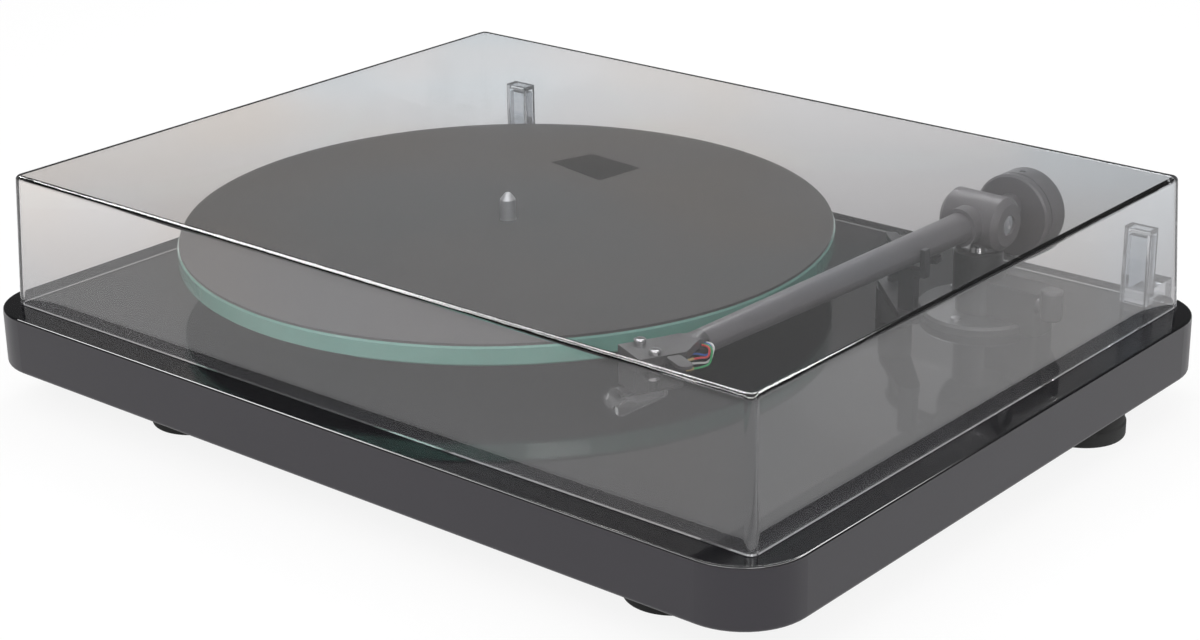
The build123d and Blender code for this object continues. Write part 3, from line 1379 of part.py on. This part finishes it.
# Cue lever: shaft in the side block, crank forwards and an upright knob
lever_face = pivot_x + block_reach + air_gap
lever_plane = Plane(origin=(lever_face, pivot_y, lever_z), x_dir=(0, 1, 0), z_dir=(1, 0, 0))
with BuildPart() as cue_lever:
    with BuildSketch(lever_plane.offset(-air_gap - lever_shaft_grip)):
        Circle(lever_shaft_r)
    extrude(amount=lever_shaft_grip + air_gap)
    with BuildSketch(lever_plane):
        Circle(lever_crank_r)
        with Locations((-lever_crank, 0)):
            Circle(lever_crank_r)
        make_hull()
    extrude(amount=lever_crank_t)
    with BuildSketch(Plane.XY.offset(lever_z + lever_knob_rise - lever_knob_h / 2)):
        with Locations((lever_face + lever_crank_t + lever_knob_r - 1.5, pivot_y - lever_crank)):
            Circle(lever_knob_r)
    extrude(amount=lever_knob_h)
    knob_edges = cue_lever.edges().filter_by(GeomType.CIRCLE).filter_by(Plane.XY)
    fillet([knob_edges.sort_by(Axis.Z)[0], knob_edges.sort_by(Axis.Z)[-1]], lever_round)
cue_lever.part.label = "cue_lever"
export_step(cue_lever.part, "parts/cue_lever.step")
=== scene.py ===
from math import cos, radians, sin

import bmesh
import bpy
from mathutils import Matrix, Vector


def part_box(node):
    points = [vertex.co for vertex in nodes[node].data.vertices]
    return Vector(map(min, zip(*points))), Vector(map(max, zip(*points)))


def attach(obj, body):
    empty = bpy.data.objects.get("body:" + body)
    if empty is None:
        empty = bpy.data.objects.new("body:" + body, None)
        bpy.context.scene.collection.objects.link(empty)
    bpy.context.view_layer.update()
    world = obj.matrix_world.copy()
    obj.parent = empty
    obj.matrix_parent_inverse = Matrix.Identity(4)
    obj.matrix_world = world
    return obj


# Looks of the turntable over its CAD nodes. Metres, in the CAD's frame.

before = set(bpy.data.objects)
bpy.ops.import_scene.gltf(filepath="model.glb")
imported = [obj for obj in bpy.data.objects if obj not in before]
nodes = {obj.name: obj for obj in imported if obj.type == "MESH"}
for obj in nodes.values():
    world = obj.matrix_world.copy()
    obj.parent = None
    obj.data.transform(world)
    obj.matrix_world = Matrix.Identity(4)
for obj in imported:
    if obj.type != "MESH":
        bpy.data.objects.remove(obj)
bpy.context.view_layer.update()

# Places read from the CAD
deck_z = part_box("plinth")[1].z
mat_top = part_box("platter_mat")[1].z
cover_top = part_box("dust_cover")[1].z
glass_low, glass_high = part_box("glass_platter")
platter_axis = (glass_low + glass_high) / 2
glass_reach = (glass_high.x - glass_low.x) / 2

# Camera at the photograph's angle
camera_place = Vector((0.69741, -0.82747, 0.46028))
camera_azimuth = 40.159
camera_elevation = 21.34
camera_roll = -0.874
camera_lens = 75.98
camera_sensor = 36.0
camera_clip = (0.02, 40.0)

# Studio: level of the room, as a gloss shows it and as clear pieces do
room_level = 0.22
gloss_level = 0.10
through_level = 0.34

# Ceiling light, strip that only outer glosses show, and horizon: levels, and sines of the heights
ceiling_level = 1.05
ceiling_from = 0.62
ceiling_blur = 0.2
strip_level = 14.0
strip_from = 0.62
strip_to = 0.74
strip_blur = 0.03
horizon_level = 1.0
horizon_to = 0.10

# Floor: half its side, its grey, how it glows, and the share of that where it is seen
floor_reach = 6.0
floor_grey = (0.8, 0.8, 0.8)
floor_glow = 1.04
floor_glow_in_gloss = 0.1
floor_glow_share = 0.84

# Painted shade on the floor where clear pieces show it, darker towards the front right next to the
# turntable: the unshaded tone, the painted shade's tone, and where the shade sets in: at the origin,
# along x, against y
unshaded_floor_tone = (1.0, 1.0, 1.0)
painted_shade_tone = (0.30, 0.29, 0.295)
painted_shade_at_origin = 1.20
painted_shade_along_x = 1.7
painted_shade_against_y = 1.5

# Lamps: name, place, aim, size and power
lamps = [
    ("key_light", (0.25, -1.9, 1.45), (0, 0, 0.05), (1.4, 0.9), 15.0),
    ("side_light", (1.05, -0.72, 0.75), (0.15, -0.15, 0.05), (0.5, 0.4), 5.2),
    ("rear_light", (-0.35, 0.55, 0.8), (-0.1, 0.1, 0.05), (0.5, 0.3), 3.0),
]

# Depths below the deck where the satin side turns to polish
polish_from, polish_to = 0.0012, 0.0004

# Depths below the cover's top where the haze of its walls ends
haze_from, haze_to = 0.006, 0.002

# Distances from the glass's edge where its green rim sets in and where it is full
rim_from, rim_to = 0.003, 0.0015

# Label on the mat: its corners, in the mat's plane
label_corners = [(-0.0942, 0.0752), (-0.0864, 0.0976), (-0.0533, 0.0942), (-0.0569, 0.0677)]
label_thickness = 0.00015


class Shade:
    """A shader socket that takes part in Python arithmetic."""

    def __init__(self, tree, socket):
        self.tree, self.socket = tree, socket

    def math(self, operation, *others):
        node = self.tree.nodes.new("ShaderNodeMath")
        node.operation = operation
        for place, value in enumerate((self, *others)):
            fill(self.tree, node.inputs[place], value)
        return Shade(self.tree, node.outputs[0])

    def __add__(self, other):
        return self.math("ADD", other)

    __radd__ = __add__

    def __mul__(self, other):
        return self.math("MULTIPLY", other)

    __rmul__ = __mul__

    def __sub__(self, other):
        return self.math("SUBTRACT", other)

    def __rsub__(self, other):
        return (self * -1.0) + other

    def __truediv__(self, other):
        return self.math("DIVIDE", other)

    def __pow__(self, other):
        return self.math("POWER", other)

    def or_else(self, other):
        return self.math("MAXIMUM", other)

    def clamp(self):
        return self.math("MAXIMUM", 0.0).math("MINIMUM", 1.0)

    def step(self, low, high):
        """0 below low, 1 above high and smooth between them."""
        share = ((self - low) / (high - low)).clamp()
        return share * share * (3.0 - 2.0 * share)


def fill(tree, socket, value):
    """Gives a socket a value or a link."""
    if isinstance(value, Shade):
        tree.links.new(value.socket, socket)
    elif isinstance(value, (tuple, list)) and len(value) == 3 and socket.type == "RGBA":
        socket.default_value = (*value, 1.0)
    else:
        socket.default_value = value


class Nodes:
    """The node tree of a material or of the world."""

    def __init__(self, owner, output):
        self.owner = owner
        owner.use_nodes = True
        self.tree = owner.node_tree
        self.tree.nodes.clear()
        self.output = self.tree.nodes.new(output)

    def node(self, kind, out=0, settings=None, **values):
        """A node of that kind: its settings first, then its sockets, by name or as i and a number."""
        node = self.tree.nodes.new(kind)
        for key, value in (settings or {}).items():
            setattr(node, key, value)
        for key, value in values.items():
            place = int(key[1:]) if key[1:].isdigit() else key.replace("_", " ")
            fill(self.tree, node.inputs[place], value)
        return Shade(self.tree, node.outputs[out])

    def show(self, shader):
        fill(self.tree, self.output.inputs[0], shader)

    def ray_is(self, kind):
        return self.node("ShaderNodeLightPath", out=f"Is {kind} Ray")

    def backdrop_seen(self):
        """1 for rays that show the backdrop: to the camera, in a gloss and through clear pieces."""
        return self.ray_is("Camera").or_else(self.ray_is("Glossy")).or_else(self.ray_is("Transmission"))

    def mix(self, share, first, second):
        return self.node("ShaderNodeMixShader", i0=share, i1=first, i2=second)

    def axes(self, vector):
        """The three numbers of a vector."""
        parts = self.node("ShaderNodeSeparateXYZ", i0=vector).socket.node.outputs
        return [Shade(self.tree, part) for part in parts]


class Finish(Nodes):
    """One procedural material."""

    def __init__(self, name):
        super().__init__(bpy.data.materials.new(name), "ShaderNodeOutputMaterial")
        self.material = self.owner

    def place(self):
        return self.node("ShaderNodeTexCoord", out="Object")

    def noise(self, scale, detail, roughness=0.5, vector=None):
        return self.node(
            "ShaderNodeTexNoise", Vector=vector or self.place(), Scale=scale, Detail=detail,
            Roughness=roughness,
        )

    def stretched(self, factors):
        return self.node(
            "ShaderNodeVectorMath", settings={"operation": "MULTIPLY"}, i0=self.place(), i1=factors,
        )

    def blend(self, share, first, second):
        """A colour between two others."""
        return self.node(
            "ShaderNodeMix", out=2, settings={"data_type": "RGBA"}, i0=share, i6=first, i7=second,
        )

    def bump(self, height, strength, distance):
        return self.node("ShaderNodeBump", Strength=strength, Distance=distance, Height=height)

    def surface(self, **values):
        """The main shader, on show."""
        self.show(self.node("ShaderNodeBsdfPrincipled", **values))


def satin_lacquer():
    """Dark grey lacquer of the plinth: satin sides and a black deck polished like a piano."""
    f = Finish("satin_lacquer")
    height = f.axes(f.place())[2]
    top = height.step(deck_z - polish_from, deck_z - polish_to)
    grain = f.noise(900.0, 3.0)
    cloud = f.noise(14.0, 2.0)
    side = f.blend(cloud, (0.0215, 0.0195, 0.0245), (0.0275, 0.025, 0.031))
    speck = f.noise(700.0, 1.0).step(0.72, 0.80) * 0.25
    deck = f.blend(speck, (0.004, 0.004, 0.005), (0.02, 0.02, 0.022))
    side_grain = grain * (1.0 - top)
    f.surface(
        Base_Color=f.blend(top, side, deck), Roughness=0.40 - 0.33 * top + 0.04 * side_grain,
        Specular_IOR_Level=0.4, Coat_Weight=0.15 * top, Coat_Roughness=0.04,
        Normal=f.bump(side_grain, 0.06, 0.0002),
    )
    return f.material


def let_light_in(f, body, tint):
    """Shadow rays pass a clear piece, so that what is inside it is lit."""
    open_ray = f.node("ShaderNodeBsdfTransparent", Color=tint)
    f.show(f.mix(f.ray_is("Shadow"), body, open_ray))
    return f.material


def clear_acrylic(name, clear, warm, cool, haze_share):
    """Clear moulded plastic with faint bands of tint, and a thin haze on its walls."""
    f = Finish(name)
    height = f.axes(f.place())[2]
    band = f.noise(9.0, 1.0, 0.4).step(0.35, 0.65)
    drift = f.noise(5.0, 1.0, 0.4, f.stretched((1.0, 1.0, 0.3))).step(0.4, 0.6)
    tint = f.blend(drift, f.blend(band, clear, warm), f.blend(band, cool, clear))
    body = f.node(
        "ShaderNodeBsdfPrincipled", Base_Color=tint, Roughness=0.01, IOR=1.53, Transmission_Weight=1.0,
    )
    haze = haze_share * (1.0 - height.step(cover_top - haze_from, cover_top - haze_to))
    dust = f.node("ShaderNodeBsdfDiffuse", Color=(0.8, 0.8, 0.82))
    return let_light_in(f, f.mix(haze, body, dust), (0.86, 0.86, 0.87))


def green_glass():
    """Platter glass, clear across and sea green along its edge."""
    f = Finish("green_glass")
    x, y, _ = f.axes(f.place())
    out_x, out_y = x - platter_axis.x, y - platter_axis.y
    reach = (out_x * out_x + out_y * out_y) ** 0.5
    rim = reach.step(glass_reach - rim_from, glass_reach - rim_to)
    mottle = f.noise(60.0, 2.0)
    colour = f.blend(mottle, (0.22, 0.54, 0.44), (0.30, 0.61, 0.51))
    edge = f.node(
        "ShaderNodeBsdfPrincipled", Base_Color=colour, Roughness=0.05, IOR=1.52, Transmission_Weight=0.5,
        Coat_Weight=0.3, Coat_Roughness=0.03,
    )
    pane = f.node(
        "ShaderNodeBsdfPrincipled", Base_Color=(0.72, 0.86, 0.80), Roughness=0.01, IOR=1.52,
        Transmission_Weight=1.0,
    )
    return let_light_in(f, f.mix(rim, pane, edge), (0.6, 0.8, 0.7))


def felt():
    """Charcoal felt with short fibres and faint fluff."""
    f = Finish("felt")
    fibre = f.noise(1400.0, 4.0, 0.65)
    patch = f.noise(45.0, 3.0)
    fluff = f.noise(2600.0, 1.0).step(0.70, 0.80)
    colour = f.blend(patch * 0.5 + fibre * 0.5, (0.060, 0.057, 0.056), (0.086, 0.083, 0.081))
    colour = f.blend(fluff * 0.35, colour, (0.26, 0.25, 0.25))
    f.surface(
        Base_Color=colour, Roughness=0.9, Specular_IOR_Level=0.1, Sheen_Weight=0.2, Sheen_Roughness=0.4,
        Normal=f.bump(fibre, 0.5, 0.0004),
    )
    return f.material


def plastic(name, colour, roughness, shine=0.5):
    """Moulded plastic with a fine even grain."""
    f = Finish(name)
    grain = f.noise(1600.0, 3.0)
    cloud = f.noise(40.0, 2.0)
    lighter = tuple(c * 1.25 + 0.002 for c in colour)
    f.surface(
        Base_Color=f.blend(cloud, colour, lighter), Roughness=roughness + 0.08 * (grain - 0.5),
        Specular_IOR_Level=shine, Normal=f.bump(grain, 0.12, 0.0003),
    )
    return f.material


def rubber(name, colour):
    """Matt rubber with a little dust."""
    f = Finish(name)
    grain = f.noise(2200.0, 4.0, 0.7)
    dust = f.noise(70.0, 3.0).step(0.55, 0.75)
    pale = tuple(c + 0.02 for c in colour)
    f.surface(
        Base_Color=f.blend(dust, colour, pale), Roughness=0.78 + 0.1 * grain,
        Normal=f.bump(grain, 0.2, 0.0003),
    )
    return f.material


def metal(name, colour, roughness):
    """Turned or drawn metal with fine tool lines."""
    f = Finish(name)
    lines = f.noise(1.0, 2.0, 0.6, f.stretched((60.0, 60.0, 2500.0)))
    cloud = f.noise(120.0, 2.0)
    darker = tuple(c * 0.82 for c in colour)
    f.surface(
        Base_Color=f.blend(cloud, darker, colour), Metallic=1.0,
        Roughness=roughness + 0.12 * (lines - 0.5), Normal=f.bump(lines, 0.08, 0.0001),
    )
    return f.material


def arm_lacquer(name, colour, lighter, coat):
    """Satin lacquer of the arm, its headshell or its base."""
    f = Finish(name)
    grain = f.noise(1800.0, 3.0)
    cloud = f.noise(35.0, 2.0)
    f.surface(
        Base_Color=f.blend(cloud, colour, lighter),
        Roughness=0.42 + 0.08 * (grain - 0.5), Coat_Weight=coat, Coat_Roughness=0.12,
        Normal=f.bump(grain, 0.12, 0.0002),
    )
    return f.material


def coloured_lead(name, colour):
    """Glossy insulation of a thin lead."""
    f = Finish(name)
    grain = f.noise(3000.0, 2.0)
    darker = tuple(c * 0.8 for c in colour)
    f.surface(Base_Color=f.blend(grain, darker, colour), Roughness=0.4 + 0.1 * grain)
    return f.material


steel = metal("bright_steel", (0.66, 0.66, 0.67), 0.26)
polished = metal("polished_steel", (0.78, 0.78, 0.79), 0.14)
satin_steel = metal("satin_steel", (0.80, 0.80, 0.81), 0.42)
brass = metal("brass", (0.70, 0.53, 0.27), 0.3)
aluminium = metal("turned_aluminium", (0.74, 0.74, 0.75), 0.32)
drawn = metal("drawn_steel", (0.52, 0.52, 0.53), 0.36)
gold = metal("gilt_brass", (0.80, 0.62, 0.32), 0.25)
moulded = plastic("moulded_black", (0.020, 0.020, 0.021), 0.45)
satin_black = plastic("satin_black", (0.028, 0.028, 0.030), 0.36)
label_black = plastic("label_black", (0.006, 0.006, 0.006), 0.6, shine=0.1)
sole = rubber("sole_rubber", (0.018, 0.018, 0.018))
black_rubber = rubber("black_rubber", (0.012, 0.012, 0.012))
cover_acrylic = clear_acrylic(
    "cover_acrylic", (0.968, 0.964, 0.970), (0.975, 0.945, 0.920), (0.930, 0.955, 0.974), 0.026,
)
guard_acrylic = clear_acrylic(
    "guard_acrylic", (0.88, 0.89, 0.90), (0.88, 0.88, 0.88), (0.86, 0.88, 0.9), 0.02,
)

finish_of = {
    satin_lacquer(): ["plinth"],
    cover_acrylic: ["dust_cover"],
    guard_acrylic: ["stylus_guard", "hinge_arm_left", "hinge_arm_right"],
    green_glass(): ["glass_platter"],
    felt(): ["platter_mat"],
    arm_lacquer("arm_satin", (0.105, 0.101, 0.106), (0.127, 0.122, 0.128), 0.15): [
        "bearing_housing", "arm_tube", "tube_collar", "rear_stub", "counterweight",
    ],
    arm_lacquer("shell_satin", (0.040, 0.039, 0.040), (0.052, 0.050, 0.052), 0.2): ["headshell"],
    arm_lacquer("base_gloss", (0.016, 0.016, 0.017), (0.022, 0.022, 0.023), 0.6): ["arm_base"],
    steel: [
        "foot_screws", "main_bearing_nut", "motor_cover_screws", "hinge_screws", "arm_base_nut",
        "arm_base_screws", "cartridge_nuts", "counterweight_screw",
    ],
    polished: [
        "thrust_ball", "motor_shaft", "tilt_spindle", "swing_bearings", "tilt_bearings", "hinge_pins",
        "yoke_post", "cartridge_bolts",
    ],
    satin_steel: ["spindle"],
    brass: ["main_bearing"],
    aluminium: ["motor_pulley"],
    drawn: ["motor_body"],
    moulded: [
        "sub_platter", "motor_cover", "power_jack", "switch_housing", "switch_rocker", "hinge_bases",
        "cartridge_body",
    ],
    satin_black: ["arm_rest", "lift_platform", "lift_post", "cue_lever", "stylus_unit"],
    sole: ["foot_front_left", "foot_front_right", "foot_rear_left", "foot_rear_right"],
    black_rubber: ["motor_pad", "drive_belt", "lead_gland"],
    gold: ["cartridge_pins", "lead_clips"],
    coloured_lead("red_lead", (0.62, 0.03, 0.03)): ["lead_red"],
    coloured_lead("green_lead", (0.03, 0.36, 0.12)): ["lead_green"],
    coloured_lead("blue_lead", (0.03, 0.12, 0.52)): ["lead_blue"],
    coloured_lead("white_lead", (0.82, 0.82, 0.80)): ["lead_white"],
}
for material, names in finish_of.items():
    for name in names:
        for slot in nodes[name].material_slots:
            slot.material = material


def finished(mesh, name, material, body):
    """A bmesh as a finished piece that rides on a body."""
    data = bpy.data.meshes.new(name)
    mesh.to_mesh(data)
    mesh.free()
    data.materials.append(material)
    piece = bpy.data.objects.new(name, data)
    bpy.context.scene.collection.objects.link(piece)
    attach(piece, body)


def mat_label():
    """Thin bare plate on the mat."""
    mesh = bmesh.new()
    corners = [mesh.verts.new((x, y, mat_top)) for x, y in label_corners]
    face = mesh.faces.new(corners)
    raised = bmesh.ops.extrude_face_region(mesh, geom=[face])
    tops = [v for v in raised["geom"] if isinstance(v, bmesh.types.BMVert)]
    bmesh.ops.translate(mesh, vec=(0, 0, label_thickness), verts=tops)
    bmesh.ops.recalc_face_normals(mesh, faces=mesh.faces)
    finished(mesh, "mat_label", label_black, "platter")


mat_label()

# Floor, light and camera


def backdrop():
    """Pale floor that reads white to the camera and keeps the object's shadow, with painted shade on it
    where clear pieces show it.
    """
    mesh = bmesh.new()
    bmesh.ops.create_grid(mesh, x_segments=1, y_segments=1, size=floor_reach)
    data = bpy.data.meshes.new("floor")
    mesh.to_mesh(data)
    mesh.free()
    floor = bpy.data.objects.new("floor", data)
    bpy.context.scene.collection.objects.link(floor)
    f = Finish("pale_floor")
    shaded = f.node("ShaderNodeBsdfDiffuse", Color=floor_grey)
    x, y, _ = f.axes(f.place())
    # Painted shade: seen through clear pieces, the floor's glow is darkened towards the front right,
    # next to the turntable
    painted_shade_share = (painted_shade_at_origin + painted_shade_along_x * x - painted_shade_against_y * y).clamp()
    floor_tone_with_painted_shade = f.blend(painted_shade_share * f.ray_is("Transmission"), unshaded_floor_tone, painted_shade_tone)
    glow = floor_glow + floor_glow_in_gloss * f.ray_is("Glossy")
    white = f.node("ShaderNodeEmission", Color=floor_tone_with_painted_shade, Strength=glow)
    f.show(f.mix(f.backdrop_seen() * floor_glow_share, shaded, white))
    data.materials.append(f.material)


def studio_light():
    """A dim room with a wide soft ceiling and a bright horizon."""
    w = Nodes(bpy.data.worlds.new("studio"), "ShaderNodeOutputWorld")
    bpy.context.scene.world = w.owner
    x, y, z = w.axes(w.node("ShaderNodeTexCoord", out="Generated"))
    ceiling = z.step(ceiling_from, ceiling_from + ceiling_blur)
    horizon = 1.0 - z.step(0.0, horizon_to)
    in_gloss = (gloss_level - room_level) * w.ray_is("Glossy")
    through = (through_level - gloss_level) * w.ray_is("Transmission")
    room = room_level + in_gloss + through
    outer = w.ray_is("Glossy") * (1.0 - w.ray_is("Transmission"))
    strip = z.step(strip_from, strip_from + strip_blur) * (1.0 - z.step(strip_to, strip_to + strip_blur))
    level = room + (ceiling_level - room_level) * ceiling + (horizon_level - room_level) * horizon
    level = level + strip_level * strip * outer
    w.show(w.node("ShaderNodeBackground", Color=(1.0, 1.0, 1.0), Strength=level))


def soft_box(name, place, aim, size, power):
    """A rectangular lamp that faces a point."""
    lamp = bpy.data.lights.new(name, "AREA")
    lamp.shape = "RECTANGLE"
    lamp.size, lamp.size_y = size
    lamp.energy = power
    holder = bpy.data.objects.new(name, lamp)
    holder.location = place
    holder.rotation_euler = (Vector(aim) - Vector(place)).to_track_quat("-Z", "Y").to_euler()
    bpy.context.scene.collection.objects.link(holder)


def photo_camera():
    """The camera, from its angles."""
    data = bpy.data.cameras.new("camera")
    data.lens = camera_lens
    data.sensor_width = camera_sensor
    data.clip_start, data.clip_end = camera_clip
    azimuth, elevation, roll = radians(camera_azimuth), radians(camera_elevation), radians(camera_roll)
    back = Vector((sin(azimuth) * cos(elevation), -cos(azimuth) * cos(elevation), sin(elevation)))
    level = (-back).cross(Vector((0, 0, 1))).normalized()
    upright = level.cross(-back)
    right = cos(roll) * level + sin(roll) * upright
    up = -sin(roll) * level + cos(roll) * upright
    turn = Matrix((right, up, back)).transposed().to_4x4()
    holder = bpy.data.objects.new("camera", data)
    holder.matrix_world = Matrix.Translation(camera_place) @ turn
    bpy.context.scene.collection.objects.link(holder)
    bpy.context.scene.camera = holder


backdrop()
studio_light()
for lamp in lamps:
    soft_box(*lamp)
photo_camera()
bpy.context.scene.view_settings.view_transform = "Standard"
